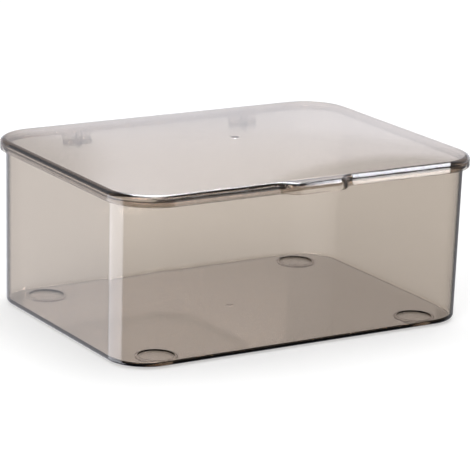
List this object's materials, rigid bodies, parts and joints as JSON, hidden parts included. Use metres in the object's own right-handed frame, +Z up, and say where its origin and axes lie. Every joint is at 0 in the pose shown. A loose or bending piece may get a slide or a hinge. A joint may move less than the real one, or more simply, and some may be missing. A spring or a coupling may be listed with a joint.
{
  "type": "tea set storage box",
  "caption": "Clear smoke-brown plastic storage box with rounded corners, a crowned flip lid on rear hinges, a thumb tab at the front and low feet.",
  "frame": {"origin": "on the surface that the feet stand on, under the middle of the whole box, thumb tab included; the middle of the tub and of the lid's rectangle is 4 mm behind it", "axes": "+X along the width, to the right seen from the thumb tab; +Y to the rear, where the hinges are; +Z up"},
  "size_m": [0.3, 0.231, 0.1319],
  "materials": {
    "smoke_plastic": "clear smoke-brown styrene plastic, glossy mould finish",
    "steel": "bright drawn stainless wire"
  },
  "bodies": {
    "tub": {"tub": "smoke_plastic"},
    "lid": {"lid": "smoke_plastic", "hinge_pin_left": "steel", "hinge_pin_right": "steel"}
  },
  "joints": [
    {"name": "lid_hinge", "type": "hinge", "parent": "tub", "child": "lid", "pos_m": [0, 0.11235, 0.111], "axis": [-1, 0, 0], "range_deg": [0, 105]}
  ]
}
